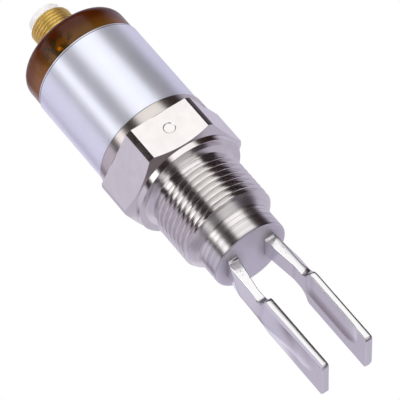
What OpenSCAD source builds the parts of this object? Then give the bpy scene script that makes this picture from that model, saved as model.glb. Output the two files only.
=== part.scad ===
// Vibrating-fork level switch: a piezo-driven tuning fork on a G 3/4 process thread,
// a round steel housing, a translucent lamp cap and a male M12 plug.
// The sealing face of the process thread is z = 0, the plug points up and the fork down.
// The marked hexagon flat faces -Y and the two tines stand apart along X.

/* [Process fitting] */
// Major diameter of the process thread
thread_d = 26.441; // [25.6:0.001:27.2]
// Sealing face to the end of the thread
thread_len = 17.2; // [15:0.1:20]
// Bevel at the end of the thread
thread_bevel = 1; // [0.5:0.1:1.5]
// Diameter of the relief groove behind the thread
relief_d = 24.1; // [23:0.1:24.8]
// Width of the relief groove
relief_w = 2.6; // [1.8:0.1:3.6]
// How far the collar with the sealing face stays inside the hexagon's flats
collar_step = 0.4; // [0.1:0.05:0.8]
// Straight height of the collar
collar_h = 1.75; // [1:0.05:3]
// Width of the flat sealing ring
seal_face_w = 2; // [1.2:0.1:2.2]
// Height of the cone between sealing ring and relief groove
seal_cone_h = 0.9; // [0.4:0.1:1.4]
// How far the hexagon's flats stand out beyond the housing
hex_step = 0.15; // [0.05:0.05:1]
// How much the round blank takes off the hexagon's corners
corner_cut = 0.475; // [0.1:0.025:1]
// Height of the hexagon above the collar, with its lower bevel
hex_h = 11.65; // [9:0.05:16]
// Slope of the lower bevel of the hexagon
hex_bevel_angle = 30; // [15:1:40]
// Diameter of the orientation mark on the front flat
mark_d = 3.3; // [2:0.1:5]
// Depth of the orientation mark
mark_depth = 0.25; // [0.1:0.05:0.6]
// How far the turned ring stands out beyond the housing
ring_step = 0.3; // [0.1:0.05:0.8]
// Height of the turned ring
ring_h = 3.45; // [2:0.05:6]
// Height of the spigot inside the housing
spigot_h = 3.65; // [2.5:0.05:6]
// Diameter of the neck under the thread
neck_d = 21.4; // [20.6:0.1:22.4]
// Height of the cone from the thread down to the neck
nose_h = 2; // [1:0.1:3]
// Straight height of the neck above the weld
neck_h = 2.8; // [2:0.1:6]
// Diameter of the bore round the piezo drive
bore_d = 18; // [17.4:0.1:18.4]
// Wall of the spigot round the wide chamber
spigot_wall = 2; // [1.6:0.1:2.8]
// Height of the chamber floor above the sealing face
chamber_floor = 8; // [5:0.1:9]

/* [Fork] */
// Height of the fork's base ring below the weld
base_h = 4; // [3:0.05:5]
// Thickness of the diaphragm
diaphragm_t = 1; // [0.6:0.05:1.4]
// Rounding of the edge round the diaphragm
rim_round = 0.6; // [0.3:0.1:1]
// Length of the tines below the diaphragm
tine_len = 40; // [32:0.05:60]
// Inner face of a tine at its root, from the axis
root_in = 4.05; // [3.4:0.05:4.6]
// Thickness of a tine at its root
root_t = 3.1; // [2.4:0.1:3.6]
// Width of the shank of a tine
shank_w = 6.6; // [5.6:0.1:7.4]
// Inner face of a blade, from the axis
blade_in = 5.55; // [4.8:0.05:6]
// Thickness of a blade
blade_t = 2.25; // [1.4:0.05:2.6]
// Width of a blade
blade_w = 13; // [11:0.1:13.4]
// Length over which the inner face leans out to the blade
lean_len = 10.5; // [6:0.1:12]
// Length of the shank down to the flare
shank_len = 12.85; // [12.5:0.05:18]
// Reach of the shank's back at its sides, from the axis
back_side = 7.35; // [7:0.05:7.8]
// Farthest reach of the shank's ridged back, from the axis
back_out = 9.15; // [8.8:0.05:9.4]
// Width of the blunt ridge of the back
ridge_w = 0.8; // [0.4:0.1:1.6]
// Length over which the back rises from the root
back_rise = 7.3; // [4:0.1:10]
// Hollow radius of the flare from shank to blade
flare_r = 3.2; // [2.6:0.1:4.5]
// Round radius of the blade's shoulder under the flare
shoulder_r = 1.2; // [0.8:0.1:1.6]
// Length over which the back falls to the blade
back_fall = 5; // [3.5:0.1:8]
// Rounding of the blade's corners at the tip
tip_r = 1.1; // [0.6:0.1:3]
// Rounding of the blade's long edges
edge_r = 0.5; // [0.2:0.05:0.7]
// Height of the raised pad at each root
pad_h = 0.6; // [0.3:0.1:1]
// How far the pad stands out beyond the shank's sides
pad_step = 0.35; // [0.2:0.05:0.6]

/* [Housing] */
// Outside diameter of the housing tube
tube_d = 31.7; // [31.4:0.1:32]
// Wall of the housing tube
tube_wall = 0.8; // [0.6:0.05:1]
// Length of the housing tube
tube_len = 28.35; // [26:0.05:45]
// Bevel that leaves a fine line where two pieces meet
line_bevel = 0.2; // [0.1:0.05:0.3]

/* [Lamp cap] */
// How far the lamp cap stays inside the housing's outline
cap_step = 0.3; // [0.2:0.05:0.6]
// Height of the cap above the housing tube
cap_h = 8.75; // [8:0.05:12]
// Rounding of the cap's top edge
cap_round = 3.2; // [1.5:0.1:4]
// Wall of the cap's spigot
cap_spigot_wall = 2.35; // [2:0.05:2.8]
// Thickness of the cap's top
cap_top_t = 2.4; // [1.8:0.1:3.2]
// Height of the cap's spigot inside the tube
cap_spigot_h = 4; // [3.4:0.1:6]
// Section diameter of the cap's seal ring
cap_seal_d = 1.1; // [0.9:0.05:1.2]

/* [Plug] */
// Major diameter of the plug's thread
plug_d = 11.95; // [11.7:0.05:12.2]
// Height of the threaded shell above the cap
shell_h = 10.55; // [9:0.05:14]
// Lead-in bevel of the shell
shell_bevel = 1.1; // [0.6:0.1:1.1]
// Diameter of the relief groove under the plug's thread
plug_relief_d = 10.8; // [10.6:0.1:11.2]
// Height of the relief groove above the cap
plug_relief_h = 0.6; // [0.4:0.1:1.5]
// Diameter of the shell's flange inside the cap
flange_d = 16; // [15:0.1:17]
// Thickness of the shell's flange
flange_t = 1.6; // [1.4:0.1:2]
// Section diameter of the flange's seal ring
flange_seal_d = 0.9; // [0.7:0.05:1]
// Outside diameter of the contact carrier
carrier_d = 9.5; // [9.2:0.1:9.6]
// How far the carrier stands out of the shell
carrier_stand = 1.9; // [0.6:0.1:2.5]
// Diameter of the carrier's open cup
cup_d = 8.3; // [8.2:0.05:8.5]
// Depth of the carrier's open cup
cup_depth = 8.9; // [7:0.1:11]
// Bevel of the cup's rim
cup_bevel = 0.35; // [0.2:0.05:0.4]
// Width of the coding key inside the cup
key_w = 1; // [0.6:0.1:1.4]
// Depth of the coding key
key_t = 0.5; // [0.3:0.05:0.6]
// Thickness of the carrier's foot under the shell
carrier_foot_t = 1; // [0.8:0.1:1.6]
// Diameter of a contact pin
pin_d = 1; // [0.8:0.05:1.1]
// Diameter of the circle of contact pins
pin_circle_d = 5.5; // [5.2:0.05:5.8]
// How far the pins stay below the cup's rim
pin_recess = 1.5; // [0.8:0.1:3]
// Length of the pins' solder tails below the carrier
pin_tail = 1.8; // [1:0.1:1.9]

/* [Piezo drive] */
// Diameter of the tension bolt
bolt_d = 4; // [3.6:0.1:4.2]
// Diameter of the bolt's boss on the diaphragm
boss_d = 6.4; // [5.8:0.1:7]
// Height of the bolt's boss
boss_h = 3; // [2:0.1:3.2]
// Height of the pressure bush
bush_h = 5; // [4.8:0.1:6]
// Thickness of the pressure bush's top
bush_top_t = 1.4; // [1:0.1:1.5]
// Width of the pressure bush's foot ring
bush_foot_w = 1.6; // [1.2:0.1:2]
// Outside diameter of the piezo rings
piezo_d = 14; // [12:0.1:14.4]
// Inside diameter of the piezo rings
piezo_hole_d = 5; // [5:0.1:6]
// Thickness of a piezo ring
piezo_t = 2; // [1.2:0.1:2.4]
// Number of piezo rings
piezo_count = 4; // [2:2:4]
// Thickness of an electrode ring
electrode_t = 0.2; // [0.15:0.05:0.3]
// Width of an electrode's solder tab
tab_w = 1.6; // [1:0.1:2]
// Thickness of an insulating ring
insulator_t = 1; // [0.6:0.1:1.2]
// Wall of the insulating sleeve on the bolt
sleeve_wall = 0.4; // [0.3:0.05:0.4]
// Outside diameter of the thrust washer
washer_d = 11; // [9:0.1:12]
// Thickness of the thrust washer
washer_t = 1.2; // [0.8:0.1:1.6]
// Width across the flats of the tension nut
nut_af = 7; // [6.5:0.1:8]
// Height of the tension nut
nut_h = 3.2; // [2.4:0.1:3.4]
// How far the bolt stands out of the nut
bolt_stand = 1.3; // [0.6:0.1:1.6]

/* [Electronics] */
// Thickness of the circuit board
board_t = 1.6; // [1:0.1:2]
// Gap between the housing's wall and the board's edges
board_gap = 3.55; // [3.3:0.05:4.5]
// Width of the board's lower tongue
tongue_w = 12; // [8:0.1:14]
// How far the tongue reaches below the chamber floor
tongue_len = 6; // [4.4:0.1:6.4]
// Height of the drive's wires above the tongue's end
tongue_lead_h = 2; // [1:0.1:3]
// Gap between the pins' tails and the board
tail_gap = 3; // [2:0.1:4]
// Depth of the side leads below the board's top
lead_drop = 1; // [0.6:0.1:2]
// Gap between the chamber floor and the board's shoulders
shoulder_gap = 4; // [2:0.1:5]
// Height of the ears that carry the lamps
ear_h = 4.6; // [3.6:0.1:4.8]
// Width of the ears
ear_w = 4; // [3.4:0.1:4.4]
// Thickness of the board's holder
holder_t = 3; // [2:0.1:4]
// Depth of the microcontroller below the board's top
chip_drop = 15; // [13:0.1:16]
// Length and width of the microcontroller
chip_side = 7; // [5:0.1:9]
// Height of the microcontroller
chip_h = 1; // [0.6:0.1:1.6]
// Width of an output transistor
transistor_w = 4.8; // [4:0.1:6]
// Length of an output transistor
transistor_l = 4.4; // [4:0.1:6]
// Height of an output transistor
transistor_h = 2.2; // [1.6:0.1:2.6]
// Length of a transistor's cooling tab
cooling_tab_l = 1.2; // [0.8:0.1:2]
// Thickness of a transistor's cooling tab
cooling_tab_t = 0.6; // [0.4:0.1:1]
// Depth of the capacitor and the magnet sensor below the board's top
capacitor_drop = 6; // [5:0.1:7]
// Diameter of the buffer capacitor
capacitor_d = 5; // [4:0.1:6]
// Height of the buffer capacitor
capacitor_h = 5.4; // [4:0.1:6]
// Width of the capacitor's rolled edge
capacitor_edge = 0.4; // [0.2:0.1:0.6]
// Length of a chip resistor
resistor_l = 1.6; // [1.2:0.1:2]
// Width of a chip resistor
resistor_w = 0.8; // [0.6:0.1:1.2]
// Height of a chip resistor
resistor_h = 0.5; // [0.3:0.1:0.7]
// Spacing of the chip resistors
resistor_pitch = 1.8; // [1.4:0.1:1.9]
// Distance of small parts from the board's edge
edge_inset = 1; // [0.6:0.1:1.6]
// Width of the magnet sensor
sensor_w = 2.9; // [2:0.1:3]
// Length of the magnet sensor
sensor_l = 1.4; // [1:0.1:1.8]
// Height of the magnet sensor
sensor_h = 1.1; // [0.8:0.1:1.4]
// Width of an indicator lamp's base
lamp_w = 2.8; // [2.2:0.1:3.2]
// Length of an indicator lamp's base
lamp_l = 2; // [1.6:0.1:2.6]
// Height of an indicator lamp's base
lamp_h = 0.6; // [0.4:0.1:0.9]
// Diameter of an indicator lamp's lens
lens_d = 1.8; // [1.2:0.1:2]
// Height of an indicator lamp's lens above its base
lens_h = 0.5; // [0.3:0.1:0.8]
// Diameter of the lead wires
wire_d = 0.8; // [0.6:0.05:0.9]

/* [Hidden] */
$fn = 96;
// Radial clearance of a close fit
fit = 0.05;
// Clearance of an easy fit
play = 0.15;
// Overrun of a cut past the faces it opens
over = 0.1;
// Overlap of two arcs that run into each other
arc_lap = 0.01;

z_thread_end = -thread_len;
z_neck = z_thread_end - nose_h;
z_weld = z_neck - neck_h;
z_end = z_weld - base_h;
z_tip = z_end - tine_len;
z_diaphragm = z_end + diaphragm_t;
z_hex_top = collar_h + hex_h;
z_ring_top = z_hex_top + ring_h;
z_spigot_top = z_ring_top + spigot_h;
z_tube_top = z_ring_top + tube_len;
z_cap_top = z_tube_top + cap_h;
z_cap_roof = z_cap_top - cap_top_t;
z_flange = z_cap_roof - flange_t;
z_shell_top = z_cap_top + shell_h;
z_cup_top = z_shell_top + carrier_stand;
z_cup_floor = z_cup_top - cup_depth;
z_foot = z_flange - carrier_foot_t;
z_tail = z_foot - pin_tail;

thread_r = thread_d / 2;
relief_r = relief_d / 2;
neck_r = neck_d / 2;
bore_r = bore_d / 2;
tube_r = tube_d / 2;
tube_in_r = tube_r - tube_wall;
ring_r = tube_r + ring_step;
chamber_r = tube_in_r - fit - spigot_wall;
cap_r = tube_r - cap_step;
cap_bore_r = tube_in_r - 2 * fit - cap_spigot_wall;
board_w = 2 * (tube_in_r - board_gap);
plug_r = plug_d / 2;
carrier_r = carrier_d / 2;
cup_r = cup_d / 2;
pin_r = pin_d / 2;
bolt_r = bolt_d / 2;
hex_af = tube_d + 2 * hex_step;
hex_corner_r = hex_af / 2 / cos(30);
hex_blank_r = hex_corner_r - corner_cut;
collar_r = hex_af / 2 - collar_step;
hex_bevel_h = (hex_blank_r - collar_r) * tan(hex_bevel_angle);

z_flare = z_end - shank_len;
blade_out = blade_in + blade_t;
blade_flat = blade_w - 2 * edge_r;
flare_y = shank_w / 2 + flare_r;
shoulder_y = blade_w / 2 - shoulder_r;
z_blade = z_flare - sqrt(pow(flare_r + shoulder_r - arc_lap, 2) - pow(flare_y - shoulder_y, 2));

bush_r = bore_r - 2 * play;
bush_hole_r = bolt_r + fit + sleeve_wall;
z_bush_top = z_diaphragm + bush_h;
z_stack = z_bush_top + insulator_t;
stack_h = piezo_count * piezo_t + (piezo_count + 1) * electrode_t;
z_stack_top = z_stack + stack_h;
z_washer = z_stack_top + insulator_t;
z_nut = z_washer + washer_t;
z_bolt_top = z_nut + nut_h + bolt_stand;

wire_r = wire_d / 2;
z_tongue = chamber_floor - tongue_len;
z_shoulder = chamber_floor + shoulder_gap;
z_board_top = z_tail - tail_gap;
board_face = board_t / 2;
piezo_wire_r = piezo_d / 2 + 2 * fit + wire_r + play;
tab_reach = piezo_wire_r - wire_r - fit;
pin_circle_r = pin_circle_d / 2;
z_capacitor = z_board_top - capacitor_drop;
z_chip = z_board_top - chip_drop;

// Flat ring with its lower face at height z
module ring(outer_r, inner_r, z, h) {
    translate([0, 0, z])
        difference() {
            cylinder(r = outer_r, h = h);
            translate([0, 0, -over])
                cylinder(r = inner_r, h = h + 2 * over);
        }
}

// Round wire through a list of points
module wire(points) {
    for (i = [0 : len(points) - 2]) {
        step = points[i + 1] - points[i];
        translate(points[i])
            rotate([0, acos(step.z / norm(step)), atan2(step.y, step.x)])
                cylinder(r = wire_r, h = norm(step), $fn = 24);
    }
    for (i = [1 : 1 : len(points) - 2])
        translate(points[i])
            sphere(r = wire_r, $fn = 24);
}

// Seal ring of round section
module seal_ring(centre_r, section_d, z) {
    translate([0, 0, z])
        rotate_extrude()
            translate([centre_r, 0])
                circle(d = section_d, $fn = 48);
}

// Side outline of the shank, reaching down into the blade
module shank_side() {
    polygon([
        [root_in, z_end + diaphragm_t / 2],
        [root_in, z_end],
        [blade_in, z_end - lean_len],
        [blade_in, z_flare - back_fall],
        [blade_out, z_flare - back_fall],
        [back_out, z_flare],
        [back_out, z_end - back_rise],
        [root_in + root_t, z_end],
        [root_in + root_t, z_end + diaphragm_t / 2]
    ]);
}

// Front outline of a tine: straight shank, S-shaped flare, then the blade with its round corners
module tine_front() {
    translate([-shank_w / 2, z_blade])
        square([shank_w, z_end + diaphragm_t / 2 - z_blade]);
    difference() {
        polygon([
            [-shoulder_y, z_blade],
            [-flare_y, z_flare],
            [flare_y, z_flare],
            [shoulder_y, z_blade]
        ]);
        for (side = [-1, 1])
            translate([side * flare_y, z_flare])
                circle(r = flare_r);
    }
    for (side = [-1, 1])
        translate([side * shoulder_y, z_blade])
            circle(r = shoulder_r);
    translate([-blade_w / 2, z_tip + tip_r])
        square([blade_w, z_blade - z_tip - tip_r]);
    translate([-blade_w / 2 + tip_r, z_tip])
        square([blade_w - 2 * tip_r, 2 * tip_r]);
    for (side = [-1, 1])
        translate([side * (blade_w / 2 - tip_r), z_tip + tip_r])
            circle(r = tip_r);
}

// Cross section of the blade with its long edges rounded
module blade_section() {
    translate([blade_in + edge_r, -blade_w / 2])
        square([blade_t - 2 * edge_r, blade_w]);
    translate([blade_in, -blade_flat / 2])
        square([blade_t, blade_flat]);
    for (side = [-1, 1], x = [blade_in + edge_r, blade_out - edge_r])
        translate([x, side * blade_flat / 2])
            circle(r = edge_r, $fn = 32);
}

// Cross section of the shank: flat inside and at the sides, a blunt ridge at the back
module shank_section() {
    polygon([
        [0, -blade_flat / 2],
        [blade_in, -blade_flat / 2],
        [back_side, -shank_w / 2],
        [back_out, -ridge_w / 2],
        [back_out, ridge_w / 2],
        [back_side, shank_w / 2],
        [blade_in, blade_flat / 2],
        [0, blade_flat / 2]
    ]);
}

// One tine on the +X side
module tine() {
    intersection() {
        rotate([90, 0, 0])
            linear_extrude(height = blade_w + 2, center = true)
                shank_side();
        rotate([90, 0, 90])
            linear_extrude(height = back_out + 2)
                tine_front();
        translate([0, 0, z_tip])
            linear_extrude(height = z_diaphragm - z_tip)
                shank_section();
    }
    intersection() {
        translate([0, 0, z_tip])
            linear_extrude(height = z_flare - z_tip)
                blade_section();
        rotate([90, 0, 90])
            linear_extrude(height = back_out + 2)
                tine_front();
    }
    translate([root_in, -shank_w / 2 - pad_step, z_end - pad_h])
        cube([root_t, shank_w + 2 * pad_step, pad_h + diaphragm_t / 2]);
}

// Fork in one piece: base ring, diaphragm, bolt boss and two tines
module fork() color("#b6b0bc") {
    difference() {
        rotate_extrude() {
            polygon([
                [bore_r, z_diaphragm],
                [bore_r, z_weld],
                [neck_r - line_bevel, z_weld],
                [neck_r, z_weld - line_bevel],
                [neck_r, z_end + rim_round],
                [0, z_end + rim_round],
                [0, z_diaphragm]
            ]);
            base_rim();
            translate([0, z_diaphragm - over])
                square([boss_d / 2, boss_h + over]);
        }
        translate([0, 0, z_diaphragm + boss_h - bolt_seat_h()])
            cylinder(r = bolt_r + fit, h = bolt_seat_h() + over);
    }
    for (turn = [0, 180])
        rotate([0, 0, turn])
            tine();
}

// Lower edge of the diaphragm with its round rim
module base_rim() {
    translate([0, z_end])
        square([neck_r - rim_round, rim_round + over]);
    intersection() {
        translate([neck_r - rim_round, z_end + rim_round])
            circle(r = rim_round, $fn = 48);
        translate([0, z_end])
            square([neck_r, rim_round]);
    }
}

// Depth of the bolt's seat in the boss
function bolt_seat_h() = boss_h - 2 * play;

// Turned fitting in one piece: spigot, ring, hexagon, collar, thread and neck
module process_fitting() color("#cfcac6") difference() {
    union() {
        rotate_extrude()
            polygon([
                [0, z_spigot_top],
                [tube_in_r - fit, z_spigot_top],
                [tube_in_r - fit, z_ring_top],
                [ring_r - line_bevel, z_ring_top],
                [ring_r, z_ring_top - line_bevel],
                [ring_r, z_hex_top - over],
                [collar_r, z_hex_top - over],
                [collar_r, 0],
                [collar_r - seal_face_w, 0],
                [relief_r, -seal_cone_h],
                [relief_r, -relief_w],
                [thread_r, -relief_w - (thread_r - relief_r)],
                [thread_r, z_thread_end + thread_bevel],
                [thread_r - thread_bevel, z_thread_end],
                [neck_r, z_neck],
                [neck_r, z_weld + line_bevel],
                [neck_r - line_bevel, z_weld],
                [0, z_weld]
            ]);
        intersection() {
            translate([0, 0, collar_h])
                cylinder(r = hex_corner_r, h = hex_h, $fn = 6);
            rotate_extrude()
                polygon([
                    [0, collar_h],
                    [collar_r, collar_h],
                    [hex_blank_r, collar_h + hex_bevel_h],
                    [hex_blank_r, z_hex_top],
                    [0, z_hex_top]
                ]);
        }
    }
    translate([0, 0, z_weld - over])
        cylinder(r = bore_r, h = z_spigot_top - z_weld + 2 * over);
    translate([0, 0, chamber_floor])
        cylinder(r = chamber_r, h = z_spigot_top - chamber_floor + over);
    translate([0, -hex_af / 2 - over, (collar_h + hex_bevel_h + z_hex_top) / 2])
        rotate([-90, 0, 0])
            cylinder(d = mark_d, h = mark_depth + over);
}

// Drawn tube between the fitting's ring and the cap
module housing_tube() color("#d4d4dc") rotate_extrude()
    polygon([
        [tube_in_r, z_ring_top],
        [tube_r - line_bevel, z_ring_top],
        [tube_r, z_ring_top + line_bevel],
        [tube_r, z_tube_top - line_bevel],
        [tube_r - line_bevel, z_tube_top],
        [tube_in_r, z_tube_top]
    ]);

// Moulded cap with a spigot, a seal groove and the hole for the plug
module lamp_cap() color("#7a4210") rotate_extrude()
    difference() {
        union() {
            translate([0, z_tube_top])
                polygon([
                    [0, 0],
                    [tube_r - 2 * line_bevel, 0],
                    [cap_r, line_bevel],
                    [cap_r, cap_h - cap_round],
                    [0, cap_h - cap_round]
                ]);
            translate([0, z_cap_top - cap_round - over])
                square([cap_r - cap_round, cap_round + over]);
            intersection() {
                translate([cap_r - cap_round, z_cap_top - cap_round])
                    circle(r = cap_round);
                translate([0, z_cap_top - cap_round - over])
                    square([cap_r, cap_round + over]);
            }
            translate([0, z_tube_top - cap_spigot_h])
                square([tube_in_r - 2 * fit, cap_spigot_h + over]);
        }
        translate([-over, z_tube_top - cap_spigot_h - over])
            square([cap_bore_r + over, z_cap_roof - z_tube_top + cap_spigot_h + over]);
        translate([-over, z_cap_roof - over])
            square([plug_r + fit + over, cap_top_t + 2 * over]);
        translate([tube_in_r - fit - cap_seal_d, z_cap_seal() - cap_seal_d / 2 - play])
            square([cap_seal_d + 2 * fit, cap_seal_d + 2 * play]);
    }

// Height of the cap's seal ring
function z_cap_seal() = z_tube_top - cap_spigot_h / 2;

// Seal ring between the cap's spigot and the tube
module cap_seal() color("#1d1d1f")
    seal_ring(tube_in_r - fit - cap_seal_d / 2 + fit / 2, cap_seal_d - fit, z_cap_seal());

// Threaded shell of the plug, held by its flange under the cap's roof
module connector_shell() color("#c2a56e") difference() {
    rotate_extrude()
        polygon([
            [carrier_r + fit, z_flange],
            [flange_d / 2, z_flange],
            [flange_d / 2, z_cap_roof],
            [plug_r, z_cap_roof],
            [plug_r, z_cap_roof + cap_top_t / 2],
            [plug_relief_d / 2, z_cap_roof + cap_top_t / 2],
            [plug_relief_d / 2, z_cap_top + plug_relief_h],
            [plug_r, z_cap_top + plug_relief_h + plug_r - plug_relief_d / 2],
            [plug_r, z_shell_top - shell_bevel],
            [plug_r - shell_bevel, z_shell_top],
            [carrier_r + fit, z_shell_top]
        ]);
    ring(
        flange_groove_r() + flange_seal_d / 2 + fit,
        flange_groove_r() - flange_seal_d / 2 - fit,
        z_cap_roof - flange_seal_d - fit,
        flange_seal_d + fit + over
    );
}

// Middle of the seal groove in the flange
function flange_groove_r() = (plug_r + flange_d / 2) / 2;

// Seal ring between the shell's flange and the cap's roof
module connector_seal() color("#1d1d1f")
    seal_ring(flange_groove_r(), flange_seal_d, z_cap_roof - flange_seal_d / 2 - fit / 2);

// Moulded insert with an open cup and a coding key
module contact_carrier() color("#e3dcd0") difference() {
    union() {
        difference() {
            rotate_extrude()
                polygon([
                    [0, z_foot],
                    [plug_r, z_foot],
                    [plug_r, z_flange],
                    [carrier_r, z_flange],
                    [carrier_r, z_cup_top - cup_bevel],
                    [carrier_r - cup_bevel, z_cup_top],
                    [0, z_cup_top]
                ]);
            translate([0, 0, z_cup_floor])
                cylinder(r = cup_r, h = cup_depth + over);
        }
        rotate([0, 0, 45])
            translate([-key_w / 2, cup_r - key_t, z_cup_floor - over])
                cube([key_w, key_t + over, cup_depth + over - 2 * cup_bevel]);
    }
    for (turn = [0 : 90 : 270])
        rotate([0, 0, turn])
            translate([pin_circle_r, 0, z_foot - over])
                cylinder(r = pin_r + fit, h = z_cup_floor - z_foot + 2 * over, $fn = 32);
}

// Four turned contact pins with round noses
module contact_pins() color("#c9a24a")
    for (turn = [0 : 90 : 270])
        rotate([0, 0, turn])
            translate([pin_circle_r, 0, 0]) {
                translate([0, 0, z_tail])
                    cylinder(r = pin_r, h = z_cup_top - pin_recess - pin_r - z_tail, $fn = 32);
                translate([0, 0, z_cup_top - pin_recess - pin_r])
                    sphere(r = pin_r, $fn = 32);
            }

// Leads from the pins' tails to the board, two to its edge and two to its faces
module connector_leads() color("#8a8f99")
    for (side = [-1, 1]) {
        wire([[side * pin_circle_r, 0, z_tail], [side * pin_circle_r, 0, z_board_top]]);
        wire([
            [0, side * pin_circle_r, z_tail],
            [0, side * pin_circle_r, z_board_top - lead_drop],
            [0, side * board_face, z_board_top - lead_drop]
        ]);
    }

// Bolt that pulls on the middle of the diaphragm
module tension_bolt() color("#a9abb0")
    translate([0, 0, z_diaphragm + boss_h - bolt_seat_h()])
        cylinder(r = bolt_r, h = z_bolt_top - z_diaphragm - boss_h + bolt_seat_h());

// Steel bush that carries the stack on the rim of the diaphragm
module pressure_bush() color("#9b9da3") rotate_extrude()
    polygon([
        [bush_r - bush_foot_w, z_diaphragm],
        [bush_r, z_diaphragm],
        [bush_r, z_bush_top],
        [bush_hole_r, z_bush_top],
        [bush_hole_r, z_bush_top - bush_top_t],
        [bush_r - bush_foot_w, z_bush_top - bush_top_t]
    ]);

// Plastic sleeve that keeps the stack off the bolt
module insulating_sleeve() color("#d9d6c8")
    ring(bolt_r + fit + sleeve_wall - fit / 2, bolt_r + fit / 2, z_bush_top, z_washer - z_bush_top);

// Ceramic ring under the stack
module lower_insulator() color("#efece2")
    ring(piezo_d / 2, piezo_hole_d / 2, z_bush_top, insulator_t);

// Stack of piezo-ceramic rings
module piezo_rings() color("#5d5a55")
    for (i = [0 : piezo_count - 1])
        ring(
            piezo_d / 2,
            piezo_hole_d / 2,
            z_stack + electrode_t + i * (piezo_t + electrode_t),
            piezo_t
        );

// Thin brass rings between the piezo rings, their tabs on two sides in turn
module electrode_rings() color("#b08d45")
    for (i = [0 : piezo_count])
        translate([0, 0, z_stack + i * (piezo_t + electrode_t)]) {
            difference() {
                cylinder(d = piezo_d, h = electrode_t);
                translate([0, 0, -over])
                    cylinder(d = piezo_hole_d, h = electrode_t + 2 * over);
            }
            rotate([0, 0, i % 2 == 0 ? -90 : 90])
                translate([piezo_d / 2 - 2 * play, -tab_w / 2, 0])
                    cube([tab_reach - piezo_d / 2 + 2 * play, tab_w, electrode_t]);
        }

// Ceramic ring on top of the stack
module upper_insulator() color("#efece2")
    ring(piezo_d / 2, piezo_hole_d / 2, z_stack_top, insulator_t);

// Washer that spreads the nut's force
module thrust_washer() color("#a9abb0")
    ring(washer_d / 2, bolt_r + fit, z_washer, washer_t);

// Nut that preloads the stack
module tension_nut() color("#a9abb0") difference() {
    translate([0, 0, z_nut])
        cylinder(r = nut_af / 2 / cos(30), h = nut_h, $fn = 6);
    translate([0, 0, z_nut - over])
        cylinder(r = bolt_r + fit, h = nut_h + 2 * over);
}

// Two wires from the electrode tabs up to the board's tongue
module piezo_leads() color("#a33b2c")
    for (side = [-1, 1])
        wire([
            [0, side * piezo_wire_r, z_stack],
            [0, side * piezo_wire_r, z_tongue + tongue_lead_h],
            [0, side * board_face, z_tongue + tongue_lead_h]
        ]);

// Plastic disc on the spigot, with a slot for the board and two windows
module board_holder() color("#3a3c40") difference() {
    translate([0, 0, z_spigot_top])
        cylinder(r = tube_in_r - play, h = holder_t);
    translate([-board_w / 2 - play, -board_face - play, z_spigot_top - over])
        cube([board_w + 2 * play, board_t + 2 * play, holder_t + 2 * over]);
    for (side = [-1, 1])
        translate([0, side * tube_in_r / 2, z_spigot_top - over])
            cylinder(r = tube_in_r / 4, h = holder_t + 2 * over);
}

// Circuit board with a lower tongue and two ears for the lamps
module circuit_board() color("#1f6b3a")
    rotate([90, 0, 0])
        linear_extrude(height = board_t, center = true) {
            translate([-tongue_w / 2, z_tongue])
                square([tongue_w, z_board_top - z_tongue]);
            translate([-board_w / 2, z_shoulder])
                square([board_w, z_board_top - z_shoulder]);
            for (side = [-1, 1])
                translate([side * (board_w - ear_w) / 2 - ear_w / 2, z_board_top - over])
                    square([ear_w, ear_h + over]);
        }

// Flat chip on the front of the board
module microcontroller() color("#222326")
    translate([-chip_side / 2, -board_face - chip_h, z_chip - chip_side / 2])
        cube([chip_side, chip_h, chip_side]);

// Two power transistors with their cooling tabs on the back of the board
module output_transistors() color("#2a2b2e")
    for (side = [-1, 1])
        translate([side * board_w / 4, board_face, z_chip]) {
            translate([-transistor_w / 2, 0, -transistor_l / 2])
                cube([transistor_w, transistor_h, transistor_l]);
            translate([-transistor_w / 2 + cooling_tab_t, 0, transistor_l / 2 - over])
                cube([transistor_w - 2 * cooling_tab_t, cooling_tab_t, cooling_tab_l + over]);
        }

// Buffer capacitor lying on the front of the board
module capacitor() color("#8d9096")
    translate([board_w / 4, -board_face, z_capacitor])
        rotate([90, 0, 0]) {
            cylinder(d = capacitor_d, h = capacitor_h - capacitor_edge);
            cylinder(d = capacitor_d - 2 * capacitor_edge, h = capacitor_h);
        }

// Lower edge of a resistor in the row
function z_resistor(i) = z_chip - chip_side / 2 + i * resistor_pitch;

// Row of chip resistors beside the microcontroller
module chip_resistors() color("#3b3f45")
    for (i = [0 : 5])
        translate([-board_w / 2 + edge_inset, -board_face - resistor_h, z_resistor(i)])
            cube([resistor_l, resistor_h, resistor_w]);

// Sensor for a test magnet held against the housing
module hall_sensor() color("#26272b")
    translate([-board_w / 2 + edge_inset, -board_face - sensor_h, z_capacitor - sensor_l / 2])
        cube([sensor_w, sensor_h, sensor_l]);

// Lamps on both faces of both ears
module indicator_lamps() color("#e8a13a")
    for (side = [-1, 1], face = [-1, 1])
        translate([side * (board_w - ear_w) / 2, face * board_face, z_board_top + ear_h / 2])
            rotate([-90 * face, 0, 0]) {
                translate([-lamp_w / 2, -lamp_l / 2, 0])
                    cube([lamp_w, lamp_l, lamp_h]);
                cylinder(d = lens_d, h = lamp_h + lens_h, $fn = 32);
            }

fork();
process_fitting();
housing_tube();
lamp_cap();
cap_seal();
connector_shell();
connector_seal();
contact_carrier();
contact_pins();
connector_leads();
tension_bolt();
pressure_bush();
insulating_sleeve();
lower_insulator();
piezo_rings();
electrode_rings();
upper_insulator();
thrust_washer();
tension_nut();
piezo_leads();
board_holder();
circuit_board();
microcontroller();
output_transistors();
capacitor();
chip_resistors();
hall_sensor();
indicator_lamps();
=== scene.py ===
import math
import bmesh
import bpy
from mathutils import Matrix, Vector


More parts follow.
